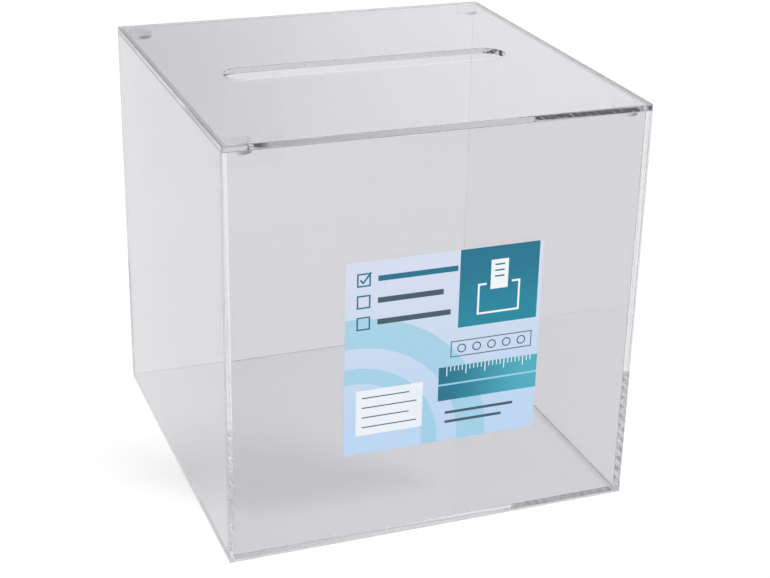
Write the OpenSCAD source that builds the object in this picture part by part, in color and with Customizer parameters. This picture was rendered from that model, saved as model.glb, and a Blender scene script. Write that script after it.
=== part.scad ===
// Clear ballot box: five welded acrylic sheets, a loose lid with a paper slot
// and a printed label. X runs to the right, Y to the back and Z up. The origin
// is the middle of the underside.

/* [Box] */
// Width of the box and of its lid, left to right
box_w = 210; // [180:1:400]
// Depth of the box and of its lid, front to back
box_d = 210; // [120:1:400]
// Height of the box with its lid on
box_h = 210; // [165:1:400]
// Thickness of the four upright panels
wall_t = 3; // [2:0.5:6]
// Thickness of the base panel
base_t = 3; // [2:0.5:6]

/* [Lid] */
// Thickness of the lid plate
lid_t = 3; // [2:0.5:6]
// Radius of the lid plate's four corners
lid_corner_r = 1; // [0.5:0.5:6]
// Length of the paper slot over its round ends
slot_l = 150; // [60:1:170]
// Width of the paper slot
slot_w = 20; // [6:1:40]

/* [Locating discs] */
// Diameter of the discs under the lid
disc_d = 12; // [6:1:20]
// Thickness of the discs under the lid
disc_t = 3; // [1.5:0.5:8]
// Play between a disc and each panel beside it
disc_play = 1; // [0.5:0.5:3]

/* [Label] */
// Width of the label
label_w = 100; // [40:1:110]
// Height of the label
label_h = 100; // [40:1:105]
// Thickness of the label
label_t = 0.3; // [0.1:0.05:0.5]
// Height of the label's lower edge above the underside of the box
label_bottom = 48; // [10:1:50]
// Distance from the left side of the box to the label's left edge
label_left = 57; // [5:1:60]

/* [Hidden] */
$fn = 96;

acrylic = [0.82, 0.85, 0.88, 0.4];
paper = [0.62, 0.80, 0.88];

// The upright panels end where the lid rests on them.
panel_h = box_h - lid_t;
// The side panels and the base fit between the front and back panels.
inner_w = box_w - 2 * wall_t;
inner_d = box_d - 2 * wall_t;
// Middle of a disc, measured in from the inner faces of its corner.
disc_inset = disc_play + disc_d / 2;
disc_x = inner_w / 2 - disc_inset;
disc_y = inner_d / 2 - disc_inset;

// A flat sheet from its middle in X and Y and its lowest point in Z.
module sheet(size, middle, bottom) {
    translate([middle[0] - size[0] / 2, middle[1] - size[1] / 2, bottom])
        cube(size);
}

// A full-width panel. side is -1 for the front and 1 for the back.
module end_panel(side) {
    color(acrylic)
        sheet([box_w, wall_t, panel_h], [0, side * (box_d - wall_t) / 2], 0);
}

// A panel between the two end panels. side is -1 for the left and 1 for the right.
module side_panel(side) {
    color(acrylic)
        sheet([wall_t, inner_d, panel_h], [side * (box_w - wall_t) / 2, 0], 0);
}

// The base lies inside the four uprights and is flush with their lower edges.
module base_panel() {
    color(acrylic)
        sheet([inner_w, inner_d, base_t], [0, 0], 0);
}

// Outline of the lid plate: a rectangle with rounded corners.
module lid_outline() {
    square([box_w - 2 * lid_corner_r, box_d], center = true);
    square([box_w, box_d - 2 * lid_corner_r], center = true);
    for (x = [-1, 1], y = [-1, 1])
        translate([x * (box_w / 2 - lid_corner_r), y * (box_d / 2 - lid_corner_r)])
            circle(r = lid_corner_r);
}

// Outline of the paper slot: two half circles joined by straight sides.
module slot_outline() {
    straight = slot_l - slot_w;
    square([straight, slot_w], center = true);
    for (x = [-1, 1])
        translate([x * straight / 2, 0])
            circle(d = slot_w);
}

module lid_plate() {
    color(acrylic)
        translate([0, 0, panel_h])
            linear_extrude(height = lid_t)
                difference() {
                    lid_outline();
                    slot_outline();
                }
}

// A disc bonded under one corner of the lid, which keeps the lid from sliding.
// across is -1 for the left and 1 for the right, along -1 for the front and 1
// for the back.
module locating_disc(across, along) {
    color(acrylic)
        translate([across * disc_x, along * disc_y, panel_h - disc_t])
            cylinder(d = disc_d, h = disc_t);
}

// The label is stuck on the outside of the front panel.
module front_label() {
    color(paper)
        sheet(
            [label_w, label_t, label_h],
            [label_left + label_w / 2 - box_w / 2, -(box_d + label_t) / 2],
            label_bottom
        );
}

end_panel(-1);  // front_panel
end_panel(1);  // back_panel
side_panel(-1);  // left_panel
side_panel(1);  // right_panel
base_panel();
lid_plate();
locating_disc(-1, -1);  // disc_front_left
locating_disc(1, -1);  // disc_front_right
locating_disc(-1, 1);  // disc_back_left
locating_disc(1, 1);  // disc_back_right
front_label();
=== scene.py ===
import math

import bmesh
import bpy
from mathutils import Matrix, Quaternion, Vector


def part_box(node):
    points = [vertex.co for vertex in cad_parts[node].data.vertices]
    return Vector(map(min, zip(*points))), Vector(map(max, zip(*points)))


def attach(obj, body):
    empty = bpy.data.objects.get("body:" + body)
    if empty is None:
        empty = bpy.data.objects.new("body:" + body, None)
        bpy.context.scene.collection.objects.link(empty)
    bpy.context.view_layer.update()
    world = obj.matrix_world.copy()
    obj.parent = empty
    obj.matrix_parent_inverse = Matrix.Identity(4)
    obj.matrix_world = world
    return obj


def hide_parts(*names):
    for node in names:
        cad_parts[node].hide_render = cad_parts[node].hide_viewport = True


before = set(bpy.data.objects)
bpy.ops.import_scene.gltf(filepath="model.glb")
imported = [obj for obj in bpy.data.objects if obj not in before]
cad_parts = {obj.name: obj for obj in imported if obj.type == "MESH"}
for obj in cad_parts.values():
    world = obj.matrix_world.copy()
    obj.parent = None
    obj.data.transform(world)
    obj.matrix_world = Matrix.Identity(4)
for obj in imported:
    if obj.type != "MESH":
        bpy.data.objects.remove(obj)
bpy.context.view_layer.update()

MM = 0.001
X, Y, Z = range(3)

# Sizes of the pieces, in metres
EDGE_BREAK = 0.22 * MM  # the polished round on every cut edge of the sheet
EDGE_STEPS = 3  # flats that make up that round
CLEARANCE = 0.02 * MM  # what each piece gives up where it meets another
LID_CORNER_R = 1.0 * MM
SLOT_L = 150 * MM
SLOT_W = 20 * MM
FILM_T = 0.14 * MM  # thickness of the label's film
CORNER_LIFT = 0.10 * MM  # how far the label's loose lower corners stand off
LIFT_REACH = 0.15  # how far from a corner the label lifts, as a share of its side


# Nodes

def new_material(name):
    """An empty node-based material and its tree."""
    material = bpy.data.materials.new(name)
    material.use_nodes = True
    material.node_tree.nodes.clear()
    return material, material.node_tree


def put(tree, kind, **values):
    """Adds a node; each value goes to the socket or the property of that name."""
    node = tree.nodes.new(kind)
    for key, value in values.items():
        socket = key.replace("_", " ")
        if socket in node.inputs:
            node.inputs[socket].default_value = value
        else:
            setattr(node, key, value)
    return node


def wire(tree, source, target):
    """Links another socket to a socket, or sets it to a number or a colour."""
    if isinstance(source, (int, float, tuple)):
        target.default_value = source
    else:
        tree.links.new(source, target)


def reckon(tree, operation, first, second=0.0):
    """The result of a Math node; each operand is a socket or a number."""
    node = put(tree, "ShaderNodeMath", operation=operation)
    wire(tree, first, node.inputs[0])
    wire(tree, second, node.inputs[1])
    return node.outputs[0]


def any_ray(tree, *kinds):
    """1 for rays of any of these kinds, else 0."""
    path = put(tree, "ShaderNodeLightPath")
    result = path.outputs[kinds[0]]
    for kind in kinds[1:]:
        result = reckon(tree, "MAXIMUM", result, path.outputs[kind])
    return result


def ramp(tree, value, low, high, to_low=0.0, to_high=1.0):
    """A smooth step of a value between two limits."""
    node = put(tree, "ShaderNodeMapRange", interpolation_type="SMOOTHSTEP")
    wire(tree, value, node.inputs["Value"])
    wire(tree, low, node.inputs["From Min"])
    wire(tree, high, node.inputs["From Max"])
    wire(tree, to_low, node.inputs["To Min"])
    wire(tree, to_high, node.inputs["To Max"])
    return node.outputs["Result"]


def place_in_object(tree):
    """Where a point lies in the object, in metres."""
    return put(tree, "ShaderNodeTexCoord").outputs["Object"]


def apart(tree, vector):
    """The X, Y and Z sockets of a vector."""
    parts = put(tree, "ShaderNodeSeparateXYZ")
    wire(tree, vector, parts.inputs[0])
    return parts.outputs


def noise(tree, coords, scale, detail=2.0):
    """A noise texture's value, its scale in waves per metre."""
    node = put(tree, "ShaderNodeTexNoise", Scale=scale, Detail=detail)
    wire(tree, coords, node.inputs["Vector"])
    return node.outputs["Fac"]


def relief(tree, height, strength, distance):
    """A normal that leans with a height, which spans a distance in metres."""
    bump = put(tree, "ShaderNodeBump", Strength=strength, Distance=distance)
    wire(tree, height, bump.inputs["Height"])
    return bump.outputs[0]


def mix_colours(tree, factor, first, second):
    """The first colour where the factor is 0, and the second where it is 1."""
    mix = put(tree, "ShaderNodeMix", data_type="RGBA")
    wire(tree, factor, mix.inputs["Factor"])
    wire(tree, first, mix.inputs["A"])
    wire(tree, second, mix.inputs["B"])
    return mix.outputs["Result"]


def mix_shaders(tree, factor, first, second):
    """The first node's shader where the factor is 0, and the second's where it is 1."""
    mix = put(tree, "ShaderNodeMixShader")
    wire(tree, factor, mix.inputs[0])
    wire(tree, first.outputs[0], mix.inputs[1])
    wire(tree, second.outputs[0], mix.inputs[2])
    return mix


def send_out(tree, shader, kind="ShaderNodeOutputMaterial"):
    """Makes a node's shader the one that is seen."""
    out = put(tree, kind)
    wire(tree, shader.outputs[0], out.inputs["Surface"])


def srgb(red, green, blue):
    """A colour given in the 0 to 255 steps of a picture, as shader values."""
    steps = [c / 255 for c in (red, green, blue)]
    linear = [c / 12.92 if c <= 0.04045 else ((c + 0.055) / 1.055) ** 2.4 for c in steps]
    return (*linear, 1.0)


def grey(value):
    """A neutral colour of a given strength."""
    return (value, value, value, 1.0)


# Materials of the sheet

PALE_GREY = srgb(186, 186, 190)
# Painted shade: the darker grey in the hazy joints along the base's right side and under the
# uprights
PAINTED_SHADE_GREY = srgb(150, 150, 154)
MILKY_WHITE = srgb(226, 226, 229)
BUBBLE_FADE = 10 * MM  # height over which the bubbles in a weld die out


def clear_acrylic(name, tint, roughness=0.0):
    """Cast acrylic: faint waves and fine rub marks; lamps shine through it."""
    material, tree = new_material(name)
    coords = place_in_object(tree)
    rub_marks = noise(tree, coords, scale=900.0)
    rubbed = ramp(tree, rub_marks, 0.62, 0.80, to_low=roughness, to_high=roughness + 0.03)
    waves = noise(tree, coords, scale=30.0, detail=1.0)
    sheet = put(tree, "ShaderNodeBsdfPrincipled", IOR=1.49, Transmission_Weight=1.0)
    wire(tree, tint, sheet.inputs["Base Color"])
    wire(tree, rubbed, sheet.inputs["Roughness"])
    wire(tree, relief(tree, waves, strength=0.007, distance=0.002), sheet.inputs["Normal"])
    lamps = put(tree, "ShaderNodeBsdfTransparent", Color=grey(0.99))
    from_lamps = any_ray(tree, "Is Shadow Ray", "Is Diffuse Ray")
    send_out(tree, mix_shaders(tree, from_lamps, sheet, lamps))
    return material


def solvent_weld(name, haze, bubbles, top, grey_and_shade):
    """A face that light passes unbent, but for haze and, below a height, bubbles; its milky part
    runs from a given grey, painted shade on the hazy joints, to white.
    """
    material, tree = new_material(name)
    coords = place_in_object(tree)
    height = apart(tree, coords)["Z"]
    strength = ramp(tree, height, top - BUBBLE_FADE, top, to_low=bubbles, to_high=0.0)
    spots = ramp(tree, noise(tree, coords, scale=260.0, detail=1.5), 0.58, 0.64)
    cover = reckon(tree, "ADD", reckon(tree, "MULTIPLY", spots, strength), haze)
    clear = put(tree, "ShaderNodeBsdfTransparent", Color=grey(1.0))
    milky = put(tree, "ShaderNodeBsdfPrincipled", Roughness=0.45)
    mottle = noise(tree, coords, scale=410.0, detail=1.0)
    wire(tree, mix_colours(tree, mottle, grey_and_shade, MILKY_WHITE), milky.inputs["Base Color"])
    send_out(tree, mix_shaders(tree, cover, clear, milky))
    return material


# The printed label: a drawing of plain shapes, in millimetres from its lower left

LABEL_TOP = 100.0
INK_BLUR = 0.07  # half the width of the fade at a printed edge
TEAL = srgb(0, 110, 138)
TEAL_BRIGHT = srgb(0, 132, 156)
TEAL_LIGHT = srgb(70, 172, 192)
SKY = srgb(150, 206, 228)
GROUND_HIGH = srgb(214, 222, 240)
GROUND_LOW = srgb(188, 214, 242)
WHITE = srgb(244, 247, 250)
SLATE = srgb(62, 84, 100)


class Print:
    """Paints shapes over a ground colour, each from its distance to the shape's edge."""

    def __init__(self, tree, left, bottom):
        self.tree = tree
        place = apart(tree, place_in_object(tree))
        self.x = self.reckon("MULTIPLY", self.reckon("SUBTRACT", place["X"], left), 1 / MM)
        self.y = self.reckon("MULTIPLY", self.reckon("SUBTRACT", place["Z"], bottom), 1 / MM)
        self.colour = None

    def reckon(self, operation, first, second=0.0):
        """The result of a Math node in the label's material."""
        return reckon(self.tree, operation, first, second)

    def gradient(self, axis, start, end, first, second):
        """A colour that changes from one to another along an axis."""
        return mix_colours(self.tree, ramp(self.tree, axis, start, end), first, second)

    def box(self, left, bottom, width, height):
        """Distance to a rectangle: below 0 inside it."""
        across = self.beside(self.x, left + width / 2, width / 2)
        up = self.beside(self.y, bottom + height / 2, height / 2)
        return self.reckon("MAXIMUM", across, up)

    def beside(self, axis, middle, half):
        """Distance to a band of the label across one axis."""
        away = self.reckon("ABSOLUTE", self.reckon("SUBTRACT", axis, middle))
        return self.reckon("SUBTRACT", away, half)

    def disc(self, x, y, radius):
        """Distance to a round spot."""
        dx = self.reckon("POWER", self.reckon("SUBTRACT", self.x, x), 2.0)
        dy = self.reckon("POWER", self.reckon("SUBTRACT", self.y, y), 2.0)
        far = self.reckon("SQRT", self.reckon("ADD", dx, dy))
        return self.reckon("SUBTRACT", far, radius)

    def line(self, x0, y0, x1, y1, width):
        """Distance to a straight stroke with square ends, at any angle."""
        length = math.hypot(x1 - x0, y1 - y0)
        ux, uy = (x1 - x0) / length, (y1 - y0) / length
        dx = self.reckon("SUBTRACT", self.x, (x0 + x1) / 2)
        dy = self.reckon("SUBTRACT", self.y, (y0 + y1) / 2)
        along = self.beside(self.turned(dx, dy, ux, uy), 0.0, length / 2)
        aside = self.beside(self.turned(dx, dy, -uy, ux), 0.0, width / 2)
        return self.reckon("MAXIMUM", along, aside)

    def turned(self, dx, dy, ux, uy):
        """How far a place lies along a direction."""
        first = self.reckon("MULTIPLY", dx, ux)
        second = self.reckon("MULTIPLY", dy, uy)
        return self.reckon("ADD", first, second)

    def outline(self, distance, width):
        """The stroke along a shape's edge."""
        return self.reckon("SUBTRACT", self.reckon("ABSOLUTE", distance), width / 2)

    def paint(self, distance, colour, cover=1.0):
        """Lays a colour over the picture where the distance is below 0."""
        inked = ramp(self.tree, distance, -INK_BLUR, INK_BLUR, to_low=cover, to_high=0.0)
        self.colour = mix_colours(self.tree, inked, self.colour, colour)


def draw_rings(art):
    """Two wide rings that spread from the lower left corner."""
    for radius, width in ((62.0, 15.0), (40.0, 8.0)):
        art.paint(art.outline(art.disc(4.0, 2.0, radius), width), SKY, cover=0.75)


def draw_pictogram(art):
    """A teal field with a box and the ruled slip that drops into it."""
    left, foot, width = 57.0, 60.0, 41.0
    ground = art.gradient(art.y, LABEL_TOP, foot, TEAL, TEAL_BRIGHT)
    art.paint(art.box(left, foot, width, LABEL_TOP - foot), ground)
    art.paint(art.outline(art.box(67.0, 66.0, 21.0, 15.0), 1.0), WHITE)
    art.paint(art.box(71.0, 79.8, 13.0, 2.4), TEAL)
    art.paint(art.box(73.0, 78.0, 9.0, 15.0), WHITE)
    for row in range(3):
        art.paint(art.box(75.0, 84.0 + 3.0 * row, 5.0, 0.8), TEAL)


def draw_tick_boxes(art):
    """Three boxes, each with a bar beside it, and a tick in the top one."""
    for row, length in enumerate((40.0, 33.0, 37.0)):
        foot = 88.0 - 11.0 * row
        art.paint(art.outline(art.box(6.0, foot, 6.0, 6.0), 0.8), TEAL)
        art.paint(art.box(16.0, foot + 1.6, length, 2.8), TEAL if row == 0 else SLATE)
    art.paint(art.line(7.2, 91.2, 8.8, 89.4, width=0.9), TEAL)
    art.paint(art.line(8.6, 89.4, 12.6, 94.6, width=0.9), TEAL)


def draw_marks(art):
    """A row of plain rings inside a thin frame."""
    art.paint(art.outline(art.box(54.0, 45.0, 42.0, 8.0), 0.5), SLATE)
    for mark in range(5):
        art.paint(art.outline(art.disc(59.5 + 7.8 * mark, 49.0, 2.0), 0.6), SLATE)


def draw_ruled_band(art):
    """A band with a pale stripe and, along its top, the ticks of a ruler."""
    left, foot, width, top = 48.0, 22.0, 52.0, 40.0
    ground = art.gradient(art.x, left, left + width, TEAL, TEAL_LIGHT)
    art.paint(art.box(left, foot, width, top - foot), ground)
    art.paint(art.box(left, 30.0, width, 1.0), SKY)
    for tick in range(23):
        length = 5.0 if tick % 5 == 0 else 2.6
        art.paint(art.box(52.0 + 2.0 * tick, top - length, 0.45, length), WHITE)


def draw_ruled_field(art):
    """A white field with ruled lines, and two bars to the right of it."""
    art.paint(art.box(6.0, 10.0, 34.0, 24.0), WHITE, cover=0.85)
    for row in range(4):
        art.paint(art.box(9.0, 14.0 + 5.2 * row, 28.0 - 4.0 * (row % 2), 0.6), SLATE)
    for row, length in enumerate((36.0, 30.0)):
        art.paint(art.box(52.0, 14.5 - 5.0 * row, length, 1.5), SLATE)


def draw_label(tree, left, bottom):
    """The generic design, drawn from its ground to its last lines."""
    art = Print(tree, left, bottom)
    art.colour = art.gradient(art.y, LABEL_TOP, 0.0, GROUND_HIGH, GROUND_LOW)
    draw_rings(art)
    draw_pictogram(art)
    draw_tick_boxes(art)
    draw_marks(art)
    draw_ruled_band(art)
    draw_ruled_field(art)
    return art.colour


def paper_white(tree):
    """The label's back: white with a faint mottle."""
    mottle = noise(tree, place_in_object(tree), scale=700.0)
    return mix_colours(tree, mottle, srgb(222, 226, 232), srgb(236, 238, 241))


def film_material(name, colour_of, roughness, grain=0.05):
    """Satin film with a fine grain and shallow waves."""
    material, tree = new_material(name)
    coords = place_in_object(tree)
    specks = noise(tree, coords, scale=1500.0)
    worn = ramp(tree, specks, 0.3, 0.7, to_low=roughness - grain, to_high=roughness + grain)
    waves = noise(tree, coords, scale=45.0, detail=3.0)
    film = put(tree, "ShaderNodeBsdfPrincipled", IOR=1.45)
    wire(tree, colour_of(tree), film.inputs["Base Color"])
    wire(tree, worn, film.inputs["Roughness"])
    wire(tree, relief(tree, waves, strength=0.15, distance=0.0006), film.inputs["Normal"])
    send_out(tree, film)
    return material


# Pieces

# Places in the lists of materials that a sheet of the box and the label are given
FACE, CUT_EDGE, WELD, BUBBLED, HAZY = range(5)
PRINTED, PLAIN = range(2)
FLAT = 0.9  # a face whose normal reaches this along an axis looks along that axis
CORNER_FROM = 100 * MM  # the joints at the box's corners lie further out than this

# Which sides of each sheet meet another sheet: (axis, direction)
MEETING_SIDES = {
    "front_panel": ((Y, 1), (Z, 1)),
    "back_panel": ((Y, -1), (Z, 1)),
    "left_panel": ((X, 1), (Y, -1), (Y, 1), (Z, 1)),
    "right_panel": ((X, -1), (Y, -1), (Y, 1), (Z, 1)),
    "base_panel": ((X, -1), (X, 1), (Y, -1), (Y, 1)),
}
PANELS = tuple(MEETING_SIDES)
DISCS = ("disc_front_left", "disc_front_right", "disc_back_left", "disc_back_right")


def add_piece(bm, node, body, materials):
    """Turns a bmesh into the visual piece that stands for a CAD node."""
    mesh = bpy.data.meshes.new(node + "_look")
    bm.to_mesh(mesh)
    bm.free()
    for material in materials:
        mesh.materials.append(material)
    piece = bpy.data.objects.new(node + "_look", mesh)
    bpy.context.scene.collection.objects.link(piece)
    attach(piece, body)
    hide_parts(node)
    return piece


def corners_of(node):
    """Copies of the lowest and the highest corner of a CAD node's box."""
    return [corner.copy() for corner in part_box(node)]


def within(point, low, high, margin):
    """True if a point lies in a box that is grown by a margin."""
    return all(a - margin < p < b + margin for a, p, b in zip(low, point, high))


def mark_cut_edges(bm, thin_axis):
    """Sets the faces round a sheet's rim apart from its two large ones."""
    bm.normal_update()
    for face in bm.faces:
        across = abs(face.normal[thin_axis]) < FLAT
        face.material_index = CUT_EDGE if across else FACE


def cut_along_neighbours(bm, low, high, neighbours):
    """Cuts a sheet's faces along the sides of the sheets that it meets."""
    for corner in (corner for box in neighbours for corner in box):
        for axis in (X, Y, Z):
            if low[axis] + EDGE_BREAK < corner[axis] < high[axis] - EDGE_BREAK:
                normal = Vector([float(i == axis) for i in (X, Y, Z)])
                geometry = bm.verts[:] + bm.edges[:] + bm.faces[:]
                bmesh.ops.bisect_plane(bm, geom=geometry, plane_co=corner, plane_no=normal)


def weld_at(middle):
    """What a welded face looks like, from where its middle lies."""
    base_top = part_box("base_panel")[1].z
    if middle.z < base_top and middle.x > CORNER_FROM:
        return HAZY
    if middle.x < -CORNER_FROM and middle.y < -CORNER_FROM:
        return BUBBLED
    return WELD


def box_sheet(node, materials):
    """A sheet with broken edges, its welded faces set apart from the clear ones."""
    low, high = corners_of(node)
    for axis, direction in MEETING_SIDES[node]:
        (high if direction > 0 else low)[axis] -= direction * CLEARANCE
    size = high - low
    place = Matrix.Translation((low + high) / 2) @ Matrix.Diagonal((*size, 1.0))
    neighbours = [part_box(other) for other in PANELS if other != node]
    bm = bmesh.new()
    bmesh.ops.create_cube(bm, size=1.0, matrix=place)
    edges = bm.edges[:]
    bmesh.ops.bevel(
        bm, geom=edges, offset=EDGE_BREAK, segments=EDGE_STEPS, profile=0.5, affect="EDGES"
    )
    cut_along_neighbours(bm, low, high, neighbours)
    mark_cut_edges(bm, min((X, Y, Z), key=lambda axis: size[axis]))
    for face in bm.faces:
        middle = face.calc_center_median()
        if any(within(middle, *box, 2 * CLEARANCE) for box in neighbours):
            face.material_index = weld_at(middle)
        elif node != "base_panel" and face.normal.z < -FLAT and middle.z < CLEARANCE:
            # The lower edge of an upright is left as sawn, so it doesn't mirror; the grey of its
            # haze is painted shade
            face.material_index = HAZY
    return add_piece(bm, node, "box", materials)


def rounded_ring(half_x, half_y, radius, z, steps=20):
    """Points round a rectangle with rounded corners, one arc for each corner."""
    points = []
    for turn, (side_x, side_y) in enumerate(((1, 1), (-1, 1), (-1, -1), (1, -1))):
        middle = Vector(((half_x - radius) * side_x, (half_y - radius) * side_y, z))
        for step in range(steps + 1):
            angle = (turn + step / steps) * math.pi / 2
            points.append(middle + radius * Vector((math.cos(angle), math.sin(angle), 0.0)))
    return points


def broken_edge():
    """Steps of (inset, rise) round a quarter circle, from a face out to its side."""
    turns = [step / EDGE_STEPS * math.pi / 2 for step in range(EDGE_STEPS + 1)]
    return [(EDGE_BREAK * (1 - math.sin(t)), EDGE_BREAK * (1 - math.cos(t))) for t in turns]


def side_rings(ring, low_z, high_z):
    """Rings up a side from the lower face to the upper one; ring takes (inset, z)."""
    steps = broken_edge()
    lower = [ring(inset, low_z + rise) for inset, rise in steps]
    upper = [ring(inset, high_z - rise) for inset, rise in reversed(steps)]
    return lower + upper


def loft(rings, closed):
    """Quads from ring to ring; closed joins the last ring to the first."""
    bm = bmesh.new()
    made = [[bm.verts.new(point) for point in ring] for ring in rings]
    pairs = list(zip(made, made[1:]))
    if closed:
        pairs.append((made[-1], made[0]))
    else:
        bm.faces.new(made[0])
        bm.faces.new(made[-1])
    for lower, upper in pairs:
        for i in range(len(lower)):
            bm.faces.new((lower[i - 1], lower[i], upper[i], upper[i - 1]))
    bmesh.ops.remove_doubles(bm, verts=bm.verts, dist=1e-7)
    bmesh.ops.recalc_face_normals(bm, faces=bm.faces)
    mark_cut_edges(bm, Z)
    return bm


def lid_plate(materials):
    """The lid: a plate with rounded corners and a slot with round ends."""
    low, high = corners_of("lid_plate")
    low.z += CLEARANCE
    half = (high - low) / 2

    def outer(inset, z):
        return rounded_ring(half.x - inset, half.y - inset, LID_CORNER_R, z)

    def slot(inset, z):
        end = SLOT_W / 2 + inset
        return rounded_ring(SLOT_L / 2 + inset, end, end, z)

    up = side_rings(outer, low.z, high.z)
    down = side_rings(slot, low.z, high.z)[::-1]
    return add_piece(loft(up + down, closed=True), "lid_plate", "lid", materials)


def locating_disc(node, materials):
    """A small disc with broken edges, glued under the lid."""
    low, high = corners_of(node)
    high.z -= CLEARANCE
    middle = (low + high) / 2
    radius = (high.x - low.x) / 2
    shift = Vector((middle.x, middle.y, 0.0))

    def ring(inset, z):
        r = radius - inset
        return [point + shift for point in rounded_ring(r, r, r, z)]

    rings = side_rings(ring, low.z, high.z)
    return add_piece(loft(rings, closed=False), node, "lid", materials)


def lift_at(u, v):
    """How far the label stands off the panel at a share of its width and height."""
    near = min(math.hypot(u, v), math.hypot(1 - u, v))
    return CORNER_LIFT * max(0.0, 1 - near / LIFT_REACH) ** 2


def film_layer(bm, thickness, steps):
    """Rows of points over the label, a thickness in front of the panel."""
    low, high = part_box("front_label")
    rows = []
    for row in range(steps + 1):
        v = row / steps
        z = low.z + v * (high.z - low.z)
        line = []
        for column in range(steps + 1):
            u = column / steps
            x = low.x + u * (high.x - low.x)
            y = high.y - CLEARANCE - thickness - lift_at(u, v)
            line.append(bm.verts.new((x, y, z)))
        rows.append(line)
    return rows


def label_film(materials, steps=40):
    """A thin film on the front panel whose two lower corners have lifted a little."""
    bm = bmesh.new()
    back = film_layer(bm, 0.0, steps)
    front = film_layer(bm, FILM_T, steps)
    for row in range(steps):
        for column in range(steps):
            for side, rows in ((PRINTED, front), (PLAIN, back)):
                lower = rows[row][column:column + 2]
                upper = rows[row + 1][column:column + 2]
                face = bm.faces.new((*lower, *reversed(upper)))
                face.material_index = side
    rim = bmesh.ops.bridge_loops(bm, edges=[edge for edge in bm.edges if edge.is_boundary])
    for face in rim["faces"]:
        face.material_index = PLAIN
    bmesh.ops.recalc_face_normals(bm, faces=bm.faces)
    return add_piece(bm, "front_label", "box", materials)


def build_box():
    """Every piece of the ballot box, each in place of its CAD node."""
    # The lid and the front get a lighter tint and the other sheets a darker one, all of one
    # acrylic: painted light and shade, so that the open slot shows grey too
    light = clear_acrylic("acrylic_painted_light_tint", (0.865, 0.862, 0.880, 1.0))
    painted_shade_tint = clear_acrylic("acrylic_painted_shade_tint", (0.718, 0.716, 0.745, 1.0))
    # Painted shade: the cut edges are tinted darker than the faces of the sheets
    shaded_cut_edge = clear_acrylic("acrylic_shaded_cut_edge", (0.560, 0.560, 0.580, 1.0), roughness=0.04)
    # Painted light: the discs are tinted lighter than the sheets
    disc_painted_light = clear_acrylic("acrylic_disc_painted_light", (0.930, 0.930, 0.940, 1.0), roughness=0.02)
    welds = [
        solvent_weld("weld_clear", haze=0.03, bubbles=0.10, top=70 * MM, grey_and_shade=PALE_GREY),
        solvent_weld("weld_bubbled", haze=0.02, bubbles=0.45, top=66 * MM, grey_and_shade=PALE_GREY),
        # Painted shade: a darker grey in the hazy joints
        solvent_weld("weld_hazy_painted_shade", haze=0.45, bubbles=0.10, top=70 * MM, grey_and_shade=PAINTED_SHADE_GREY),
    ]
    for node in PANELS:
        # Painted light on the front sheet, painted shade on the other sheets
        sheet = light if node == "front_panel" else painted_shade_tint
        box_sheet(node, [sheet, shaded_cut_edge, *welds])
    lid_plate([light, shaded_cut_edge])
    for node in DISCS:
        locating_disc(node, [disc_painted_light, disc_painted_light])
    corner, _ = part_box("front_label")
    printed = film_material("label_print", lambda tree: draw_label(tree, corner.x, corner.z), 0.34)
    label_film([printed, film_material("label_back", paper_white, 0.6)])


# Studio

FLOOR_HALF = 6.0
FLOOR_DROP = 0.2 * MM  # how far the floor lies below the box
FLOOR_GLOW = 0.24  # light of its own that makes the floor look white
DARK_SIDE = Vector((-0.47, 0.82, 0.31))  # towards the unlit part of the room
DARK_FROM, DARK_TO = 0.58, 0.93  # cosines of the angles between which the room darkens
DARK_LEVEL = 0.09  # brightness of the unlit part
ROOM_LIGHT = 0.8  # strength of the light that the room gives
SUN_DIRECTION = Vector((-0.50, 0.55, -0.67))  # the way its light travels


def floor():
    """A white floor that looks white to the camera and keeps the shadow."""
    material, tree = new_material("floor_white")
    lit = put(tree, "ShaderNodeBsdfDiffuse", Color=grey(0.8))
    glow = put(tree, "ShaderNodeEmission", Color=grey(1.0))
    seen = any_ray(tree, "Is Camera Ray", "Is Glossy Ray", "Is Transmission Ray")
    wire(tree, reckon(tree, "MULTIPLY", seen, FLOOR_GLOW), glow.inputs["Strength"])
    both = put(tree, "ShaderNodeAddShader")
    wire(tree, lit.outputs[0], both.inputs[0])
    wire(tree, glow.outputs[0], both.inputs[1])
    send_out(tree, both)
    bm = bmesh.new()
    corners = ((-1, -1), (1, -1), (1, 1), (-1, 1))
    bm.faces.new([bm.verts.new((x * FLOOR_HALF, y * FLOOR_HALF, -FLOOR_DROP)) for x, y in corners])
    mesh = bpy.data.meshes.new("floor")
    bm.to_mesh(mesh)
    bm.free()
    mesh.materials.append(material)
    plane = bpy.data.objects.new("floor", mesh)
    bpy.context.scene.collection.objects.link(plane)


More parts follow.
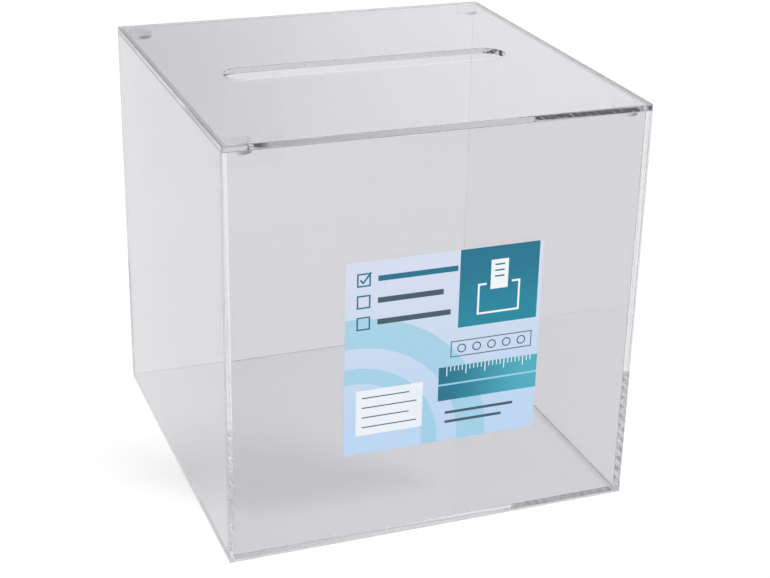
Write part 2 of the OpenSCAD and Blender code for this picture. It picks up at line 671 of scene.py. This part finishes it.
def room():
    """A plain soft room: white to the camera, and darker on one side in the glass."""
    world = bpy.data.worlds.new("room")
    world.use_nodes = True
    tree = world.node_tree
    tree.nodes.clear()
    where = put(tree, "ShaderNodeTexCoord").outputs["Generated"]
    towards = put(tree, "ShaderNodeVectorMath", operation="DOT_PRODUCT")
    towards.inputs[1].default_value = DARK_SIDE.normalized()
    wire(tree, where, towards.inputs[0])
    level = ramp(tree, towards.outputs["Value"], DARK_FROM, DARK_TO, 1.0, DARK_LEVEL)
    in_glass = put(tree, "ShaderNodeBackground")
    wire(tree, level, in_glass.inputs["Color"])
    soft = put(tree, "ShaderNodeBackground", Color=grey(1.0), Strength=ROOM_LIGHT)
    white = put(tree, "ShaderNodeBackground", Color=grey(1.0))
    glass_rays = any_ray(tree, "Is Glossy Ray", "Is Transmission Ray")
    unseen = mix_shaders(tree, glass_rays, soft, in_glass)
    everything = mix_shaders(tree, any_ray(tree, "Is Camera Ray"), unseen, white)
    send_out(tree, everything, kind="ShaderNodeOutputWorld")
    bpy.context.scene.world = world


def key_light():
    """A broad soft sun from the front right, which throws the label's shadow."""
    data = bpy.data.lights.new("key", "SUN")
    data.energy = 1.05
    data.angle = math.radians(16)
    lamp = bpy.data.objects.new("key", data)
    lamp.rotation_mode = "QUATERNION"
    lamp.rotation_quaternion = SUN_DIRECTION.to_track_quat("-Z", "Y")
    lamp.visible_glossy = False
    lamp.visible_transmission = False
    bpy.context.scene.collection.objects.link(lamp)


# Camera

FOCAL_PX = 1631.0  # focal length in pixels of a picture that is PICTURE_W wide
PICTURE_W = 770
CAMERA_AT = Vector((-0.2777, -0.7489, 0.4352))
CAMERA_AIM = Vector((0.0080, -0.0106, 0.0889))
CAMERA_ROLL = math.radians(1.31)
BOUNCES = 64


def camera():
    """The photograph's camera, as fitted to the edges of the box."""
    data = bpy.data.cameras.new("camera")
    data.sensor_fit = "HORIZONTAL"
    data.sensor_width = 36.0
    data.lens = FOCAL_PX / PICTURE_W * data.sensor_width
    data.clip_start = 0.01
    data.clip_end = 50.0
    eye = bpy.data.objects.new("camera", data)
    eye.location = CAMERA_AT
    eye.rotation_mode = "QUATERNION"
    level = (CAMERA_AIM - CAMERA_AT).to_track_quat("-Z", "Y")
    eye.rotation_quaternion = level @ Quaternion((0.0, 0.0, 1.0), CAMERA_ROLL)
    bpy.context.scene.collection.objects.link(eye)
    bpy.context.scene.camera = eye


def long_light_paths():
    """Light is caught in the sheets' edges, so it may bounce for longer."""
    cycles = bpy.context.scene.cycles
    cycles.max_bounces = BOUNCES
    cycles.glossy_bounces = BOUNCES
    cycles.transmission_bounces = BOUNCES
    cycles.transparent_max_bounces = BOUNCES


build_box()
floor()
room()
key_light()
camera()
long_light_paths()
bpy.context.scene.view_settings.view_transform = "Standard"
bpy.context.view_layer.update()
